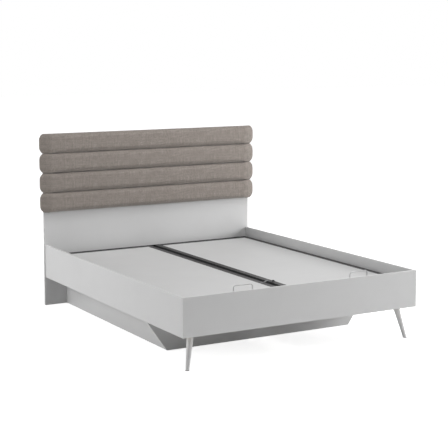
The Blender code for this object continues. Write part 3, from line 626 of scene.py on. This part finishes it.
def powder_coat(name, grey, roughness=0.48, gloss=0.35):
    """Powder coat: a matt skin with a fine orange-peel texture and small dust specks."""
    material, tree, shader = new_finish(name)
    peel = add_node(
        tree, "ShaderNodeTexNoise", {"Vector": place_of(tree), "Scale": 700, "Detail": 3}
    )
    cloud = add_node(
        tree, "ShaderNodeTexNoise", {"Vector": place_of(tree), "Scale": 14, "Detail": 4}
    )
    tone = two_tones(tree, cloud.outputs["Fac"], shade(grey, 0.88), shade(grey, 1.12))
    tree.links.new(tone, shader.inputs["Base Color"])
    sheen = add_node(
        tree,
        "ShaderNodeMapRange",
        {"Value": peel.outputs["Fac"], "To Min": roughness - 0.06, "To Max": roughness + 0.1},
    )
    tree.links.new(sheen.outputs["Result"], shader.inputs["Roughness"])
    shader.inputs["Specular IOR Level"].default_value = gloss
    bump(tree, shader, peel.outputs["Fac"], 0.3, 0.0004)
    return material


frame_coat = powder_coat("frame_powder_coat", frame_grey)
finish_nodes(softwood, "side_ledge_left", "side_ledge_right")
finish_nodes(cross_softwood, "foot_ledge")
# Painted shade: the head ledge is flat black, almost without gloss, so the gap along the headboard reads
# as deep shadow.
gap_shade_primer = powder_coat("gap_shade_primer", gap_shade_black, 0.8, 0.05)
finish_nodes(gap_shade_primer, "head_ledge")
for name, side in (("left", -1), ("right", 1)):
    low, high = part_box(f"side_ledge_{name}")
    face_x = side * (min(abs(low.x), abs(high.x)) - seat)
    step = (high.y - low.y) / ledge_screws
    middle_z = (low.z + high.z) / 2
    places = [Vector((face_x, low.y + step * (i + 0.5), middle_z)) for i in range(ledge_screws)]
    drive_screws(f"ledge_screws_{name}", places, (-side, 0, 0), "bed_frame")
low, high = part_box("foot_ledge")
step = (high.x - low.x) / ledge_screws
middle_z = (low.z + high.z) / 2
places = [Vector((low.x + step * (i + 0.5), high.y + seat, middle_z)) for i in range(ledge_screws)]
drive_screws("foot_ledge_screws", places, (0, 1, 0), "bed_frame")
low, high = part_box("head_ledge")
step = (high.x - low.x) / ledge_screws
face_y = high.y - angle_steel - seat
middle_z = (low.z + angle_steel + high.z) / 2
places = [Vector((low.x + step * (i + 0.5), face_y, middle_z)) for i in range(ledge_screws)]
drive_screws("head_ledge_screws", places, (0, -1, 0), "bed_frame")


# Storage box: two side boards and a front board with slanted ends, all of the same melamine
# board. They stand on the floor. The box's own floor is thin lacquered hardboard, laid on cleats
# and on a middle bearer.

hardboard_grey = (0.60, 0.59, 0.575, 1)

finish_nodes(board_finish, "box_side_left", "box_side_right", "box_front", "floor_bearer")
finish_nodes(softwood, "floor_cleat_left", "floor_cleat_right")
hardboard_finish = laminate("lacquered_hardboard", hardboard_grey, 0.5)
finish_nodes(hardboard_finish, "floor_panel_left", "floor_panel_right")


# Platform frames: two ladders of rectangular steel tube, welded at the corners and powder coated
# dark grey. A weld bead runs down each inner corner.

bead_radius = 0.0028
bead_steps = 9
tube_width = 0.040
panel_gap = 0.0003
bead_foot = 0.001
bead_top = 0.0015


def weld_bead(length):
    """One upright bead at the origin, rippled where the puddles overlapped."""
    bpy.ops.object.select_all(action="DESELECT")
    bpy.ops.mesh.primitive_cylinder_add(vertices=10, radius=bead_radius, depth=length)
    bead = bpy.context.object
    edit(bead)
    pick(bead, "EDGE", lambda edge: abs(edge.verts[0].co.z - edge.verts[1].co.z) > length / 2)
    bpy.ops.mesh.subdivide(number_cuts=bead_steps)
    step = length / (bead_steps + 1)
    pick(bead, "VERT", lambda vertex: round((vertex.co.z + length / 2) / step) % 2 == 1)
    bpy.ops.transform.resize(value=(0.82, 0.82, 1))
    close_edit()
    bpy.ops.object.shade_smooth_by_angle(angle=math.radians(60))
    return bead


finish_nodes(frame_coat, "platform_frame_left", "platform_frame_right")
box_low, box_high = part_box("box_front")
cross_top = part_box("platform_panel_left")[0].z - panel_gap
for name, side in (("left", -1), ("right", 1)):
    low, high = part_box(f"platform_frame_{name}")
    first = (box_low.y + box_high.y) / 2
    last = high.y - tube_width / 2
    centres = [first + (last - first) * bay / 3 for bay in range(3)]
    rows = [low.y + tube_width, high.y - tube_width]
    rows += [y + tube_width / 2 * step for y in centres for step in (-1, 1)]
    bead_low, bead_high = low.z + bead_foot, cross_top - bead_top
    master = weld_bead(bead_high - bead_low)
    beads = []
    for x in (low.x + tube_width, high.x - tube_width):
        for y in rows:
            bead = master.copy()
            bead.data = master.data.copy()
            bead.data.transform(Matrix.Translation((x, y, (bead_low + bead_high) / 2)))
            scene.collection.objects.link(bead)
            beads.append(bead)
    bpy.data.objects.remove(master, do_unlink=True)
    bpy.ops.object.select_all(action="DESELECT")
    for bead in beads:
        bead.select_set(True)
    bpy.context.view_layer.objects.active = beads[0]
    bpy.ops.object.join()
    welds = bpy.context.view_layer.objects.active
    welds.name = f"frame_welds_{name}"
    welds.data.materials.append(frame_coat)
    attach(welds, "platform")


# Platform panels: thin flat boards with a matt pale face, let into the frames.

panel_grey = (0.63, 0.63, 0.63, 1)

panel_finish = laminate("platform_melamine", panel_grey, 0.55)
finish_nodes(panel_finish, "platform_panel_left", "platform_panel_right")


# What joins the frames: an arched steel strap over the middle gap with a black bolt, and a flat
# plate below it towards the head.

strap_grey = (0.20, 0.20, 0.203, 1)
black_paint = (0.018, 0.018, 0.019, 1)

strap_coat = powder_coat("strap_powder_coat", strap_grey)
bolt_black = powder_coat("bolt_black", black_paint, 0.4)
finish_nodes(strap_coat, "joining_strap")
finish_nodes(frame_coat, "joining_plate")
finish_nodes(bolt_black, "joining_bolt")


# Mattress stops: hoops of bent steel wire, powder coated pale grey, that stand on the frames'
# foot tubes.

stop_grey = (0.68, 0.68, 0.685, 1)
wire_sides = 20
wire_corner = 0.014


def wire_hoop(name, low, high):
    """A wire drawn up, bent over and down again: a disc extruded, spun round two corners."""
    radius = (high.y - low.y) / 2
    left, right = low.x + radius, high.x - radius
    y, top = (low.y + high.y) / 2, high.z - radius
    bpy.ops.object.select_all(action="DESELECT")
    bpy.ops.mesh.primitive_circle_add(
        vertices=wire_sides, radius=radius, fill_type="NGON", location=(left, y, low.z)
    )
    hoop = bpy.context.object
    hoop.name = name
    settle(hoop)
    edit(hoop)
    bpy.ops.mesh.select_all(action="SELECT")
    rise = top - wire_corner - low.z
    bpy.ops.mesh.extrude_region_move(TRANSFORM_OT_translate={"value": (0, 0, rise)})
    bpy.ops.mesh.spin(
        steps=12,
        angle=math.pi / 2,
        center=(left + wire_corner, y, low.z + rise),
        axis=(0, -1, 0),
    )
    across = right - left - 2 * wire_corner
    bpy.ops.mesh.extrude_region_move(TRANSFORM_OT_translate={"value": (across, 0, 0)})
    bpy.ops.mesh.spin(
        steps=12,
        angle=math.pi / 2,
        center=(right - wire_corner, y, low.z + rise),
        axis=(0, -1, 0),
    )
    bpy.ops.mesh.extrude_region_move(TRANSFORM_OT_translate={"value": (0, 0, -rise)})
    bpy.ops.mesh.select_all(action="SELECT")
    bpy.ops.mesh.remove_doubles(threshold=0.00001)
    bpy.ops.mesh.normals_make_consistent(inside=False)
    close_edit()
    bpy.ops.object.shade_smooth_by_angle(angle=math.radians(50))
    return hoop


stop_coat = powder_coat("stop_powder_coat", stop_grey, 0.4)
for name in ("left", "right"):
    low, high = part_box(f"mattress_stop_{name}")
    hoop = wire_hoop(f"wire_stop_{name}", low, high)
    hoop.data.materials.append(stop_coat)
    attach(hoop, "platform")
    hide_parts(f"mattress_stop_{name}")


# Lift mechanism: plated steel brackets and arms on each side, turning on riveted studs, with a
# black gas strut whose hard-chromed rod pushes the platform up.

strut_black = (0.022, 0.022, 0.024, 1)
chrome_bright = (0.78, 0.78, 0.80, 1)
rail_plate = 0.0025
frame_plate = 0.003
bracket_margin = 0.012
rail_screws = (0.16, 0.26)
rail_screw_rise = 0.010
rail_screw_drop = 0.008

for kind in ("rail_bracket", "frame_bracket", "front_arm", "rear_arm"):
    finish_nodes(zinc, f"{kind}_left", f"{kind}_right")
strut_paint = powder_coat("strut_paint", strut_black, 0.3)
rod_chrome = plated_steel("rod_chrome", chrome_bright, 0.14)
finish_nodes(strut_paint, "strut_cylinder_left", "strut_cylinder_right")
finish_nodes(rod_chrome, "strut_rod_left", "strut_rod_right")
for name, side in (("left", -1), ("right", 1)):
    low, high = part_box(f"rail_bracket_{name}")
    plate_x = side * (max(abs(low.x), abs(high.x)) - rail_plate - seat)
    along = (low.y + rail_screws[0], low.y + rail_screws[1], high.y - bracket_margin)
    heights = (low.z + rail_screw_rise, high.z - rail_screw_drop)
    places = [Vector((plate_x, y, z)) for y in along for z in heights]
    drive_screws(f"rail_bracket_screws_{name}", places, (-side, 0, 0), "bed_frame")
    low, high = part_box(f"frame_bracket_{name}")
    flange_z = high.z - frame_plate - seat
    inner_x = side * (min(abs(low.x), abs(high.x)) + bracket_margin)
    along = (low.y + bracket_margin, (low.y + high.y) / 2, high.y - bracket_margin)
    places = [Vector((inner_x, y, flange_z)) for y in along]
    drive_screws(f"frame_bracket_screws_{name}", places, (0, 0, -1), "platform")
bpy.data.objects.remove(screw_master, do_unlink=True)


# Studio: a plain white floor that keeps a faint shadow, a white surround, and large soft lights
# all round the bed and overhead.

floor_white = (0.93, 0.93, 0.93, 1)
floor_lift = 0.75
floor_near = 3.5
floor_far = 9.0
surround = 0.17


def studio_floor():
    bpy.ops.object.select_all(action="DESELECT")
    bpy.ops.mesh.primitive_plane_add(size=60, location=(0, 0, -0.0005))
    floor = bpy.context.object
    floor.name = "studio_floor"
    material, tree, shader = new_finish("studio_floor")
    tree.nodes.remove(shader)
    matt = add_node(tree, "ShaderNodeBsdfDiffuse", {"Color": floor_white})
    seen = add_node(tree, "ShaderNodeLightPath")
    either = add_node(
        tree,
        "ShaderNodeMath",
        {0: seen.outputs["Is Camera Ray"], 1: seen.outputs["Is Glossy Ray"]},
        operation="MAXIMUM",
    )
    away = add_node(
        tree, "ShaderNodeVectorMath", {"Vector": place_of(tree)}, operation="LENGTH"
    )
    lift = add_node(
        tree,
        "ShaderNodeMapRange",
        {
            "Value": away.outputs["Value"],
            "From Min": floor_near,
            "From Max": floor_far,
            "To Min": floor_lift,
            "To Max": 1,
        },
    )
    strength = add_node(
        tree, "ShaderNodeMath", {0: either.outputs[0], 1: lift.outputs[0]}, operation="MULTIPLY"
    )
    glow = add_node(
        tree, "ShaderNodeEmission", {"Color": (1, 1, 1, 1), "Strength": strength.outputs[0]}
    )
    both = add_node(tree, "ShaderNodeAddShader", {0: matt.outputs[0], 1: glow.outputs[0]})
    tree.links.new(both.outputs[0], tree.nodes["Material Output"].inputs["Surface"])
    floor.data.materials.append(material)


def white_surround():
    world = bpy.data.worlds.new("studio")
    world.use_nodes = True
    scene.world = world
    tree = world.node_tree
    soft = tree.nodes["Background"]
    soft.inputs["Color"].default_value = (1, 1, 1, 1)
    soft.inputs["Strength"].default_value = surround
    white = add_node(tree, "ShaderNodeBackground", {"Color": (1, 1, 1, 1), "Strength": 1})
    seen = add_node(tree, "ShaderNodeLightPath")
    either = add_node(
        tree,
        "ShaderNodeMath",
        {0: seen.outputs["Is Camera Ray"], 1: seen.outputs["Is Glossy Ray"]},
        operation="MAXIMUM",
    )
    mixed = add_node(
        tree, "ShaderNodeMixShader", {0: either.outputs[0], 1: soft.outputs[0], 2: white.outputs[0]}
    )
    tree.links.new(mixed.outputs[0], tree.nodes["World Output"].inputs["Surface"])


def soft_light(name, place, aim, size, power):
    bpy.ops.object.select_all(action="DESELECT")
    bpy.ops.object.light_add(type="AREA", location=place)
    lamp = bpy.context.object
    lamp.name = name
    lamp.data.shape = "DISK"
    lamp.data.size = size
    lamp.data.energy = power
    lamp.rotation_euler = (Vector(aim) - Vector(place)).to_track_quat("-Z", "Y").to_euler()


studio_floor()
white_surround()
soft_light("light_right", (5.0, -2.6, 2.1), (0.2, 0.1, 0.45), 3.0, 213)
soft_light("light_front", (-3.2, -6.0, 2.6), (0, 0, 0.5), 3.0, 3)
soft_light("light_left", (-5.4, 1.5, 2.2), (0, 0.3, 0.4), 3.0, 116)
soft_light("light_above", (0.3, -1.2, 4.3), (0, 0.3, 0.5), 2.2, 76)
soft_light("light_behind", (0.6, 5.6, 2.6), (0, 0.8, 0.5), 3.0, 80)


# Camera: a long lens from the foot end's left, a little above the headboard.

camera_place = (-3.9689, -6.9354, 1.8677)
camera_turn = math.radians(-29.998)
camera_tilt = math.radians(90 - 6.58)
camera_lens = 98.36
camera_shift = -0.1

bpy.ops.object.select_all(action="DESELECT")
bpy.ops.object.camera_add(location=camera_place, rotation=(camera_tilt, 0, camera_turn))
camera = bpy.context.object
camera.data.lens = camera_lens
camera.data.sensor_width = 36
camera.data.shift_y = camera_shift
scene.camera = camera
scene.view_settings.view_transform = "Standard"
